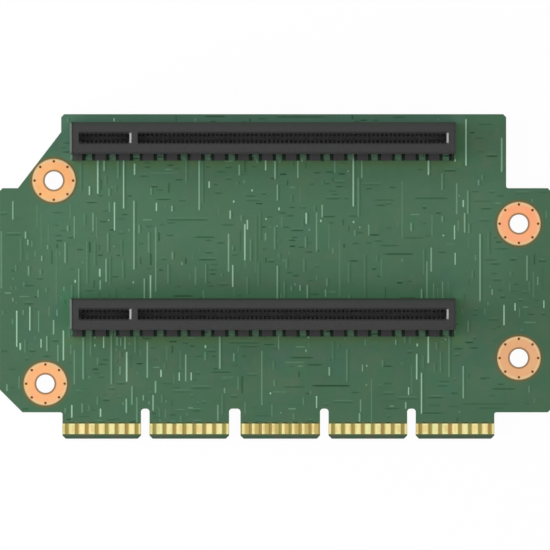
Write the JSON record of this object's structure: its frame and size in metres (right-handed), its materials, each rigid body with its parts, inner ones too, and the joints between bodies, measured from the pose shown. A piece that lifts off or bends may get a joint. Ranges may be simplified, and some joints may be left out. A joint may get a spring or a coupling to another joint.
{
  "type": "pcie riser card",
  "caption": "Flat green circuit board with long black card slots standing on its face, a gold-fingered edge tongue cut into tabs, and copper-ringed mounting holes; carries cards in a server.",
  "frame": {"origin": "centre of the card's outline, on the surface that the slots' locating pegs rest on", "axes": "+X along the card's long side to the right as the slots are seen with the edge tongue at the bottom, +Y from the edge tongue to the far edge, +Z out of the card's face"},
  "size_m": [0.1274, 0.075, 0.0136],
  "materials": {
    "board": "satin solder mask",
    "slot_housing": "moulded, matt",
    "contact": "gold flash, dull",
    "finger_gold": "gold plated, satin",
    "copper": "bare copper, satin"
  },
  "bodies": {
    "root": {"board": "board", "upper_slot_housing": "slot_housing", "lower_slot_housing": "slot_housing", "upper_slot_power_contacts_a": "contact", "upper_slot_power_contacts_b": "contact", "upper_slot_signal_contacts_a": "contact", "upper_slot_signal_contacts_b": "contact", "lower_slot_power_contacts_a": "contact", "lower_slot_power_contacts_b": "contact", "lower_slot_signal_contacts_a": "contact", "lower_slot_signal_contacts_b": "contact", "edge_fingers_front_1": "finger_gold", "edge_fingers_front_2": "finger_gold", "edge_fingers_front_3": "finger_gold", "edge_fingers_front_4": "finger_gold", "edge_fingers_front_5": "finger_gold", "edge_fingers_back_1": "finger_gold", "edge_fingers_back_2": "finger_gold", "edge_fingers_back_3": "finger_gold", "edge_fingers_back_4": "finger_gold", "edge_fingers_back_5": "finger_gold", "mounting_rings": "copper"}
  },
  "joints": []
}
